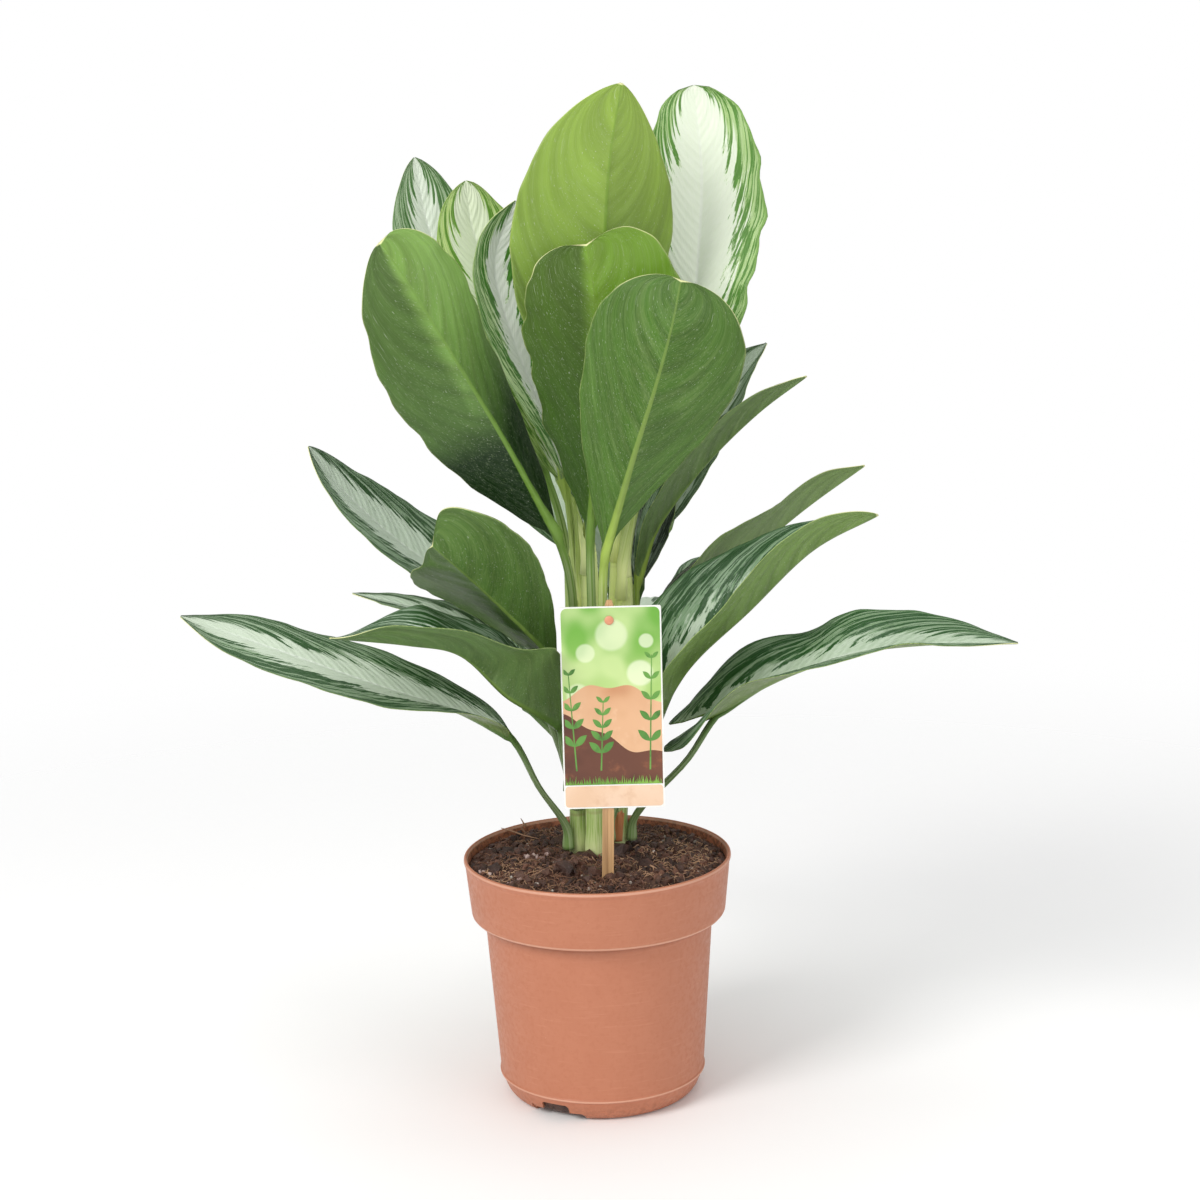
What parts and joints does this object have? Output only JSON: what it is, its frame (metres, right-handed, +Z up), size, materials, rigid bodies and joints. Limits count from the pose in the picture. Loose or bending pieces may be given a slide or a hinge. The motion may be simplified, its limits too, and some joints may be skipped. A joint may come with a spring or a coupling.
{
  "type": "potted chinese evergreen",
  "caption": "Leafy house plant with silver and green pointed leaves on a clump of short canes, in a round plastic pot with a broad collar, with a label card on a stake.",
  "frame": {"origin": "centre of the pot's flat underside, on the surface that it stands on", "axes": "+Z up along the pot's axis, -Y to the front, where the label faces, +X to the right seen from the front"},
  "size_m": [0.4986, 0.3496, 0.6343],
  "materials": {
    "pot": "matte",
    "soil": "matte",
    "cane": "satin",
    "leaf": "satin",
    "dry_sheath": "matte",
    "label_stake": "satin",
    "label_card": "satin"
  },
  "bodies": {
    "root": {"pot": "pot", "soil": "soil", "cane_left": "cane", "cane_front": "cane", "cane_right": "cane", "cane_back_left": "cane", "cane_back_right": "cane", "dry_sheath": "dry_sheath", "leaf_01": "leaf", "leaf_02": "leaf", "leaf_03": "leaf", "leaf_04": "leaf", "leaf_05": "leaf", "leaf_06": "leaf", "leaf_07": "leaf", "leaf_08": "leaf", "leaf_09": "leaf", "leaf_10": "leaf", "leaf_11": "leaf", "leaf_12": "leaf", "leaf_13": "leaf", "leaf_14": "leaf", "leaf_15": "leaf", "leaf_16": "leaf", "leaf_17": "leaf", "leaf_18": "leaf", "leaf_19": "leaf", "leaf_20": "leaf", "leaf_21": "leaf", "leaf_22": "leaf", "leaf_23": "leaf", "leaf_24": "leaf", "leaf_25": "leaf", "leaf_26": "leaf", "label_stake": "label_stake", "label_card": "label_card"}
  },
  "joints": []
}
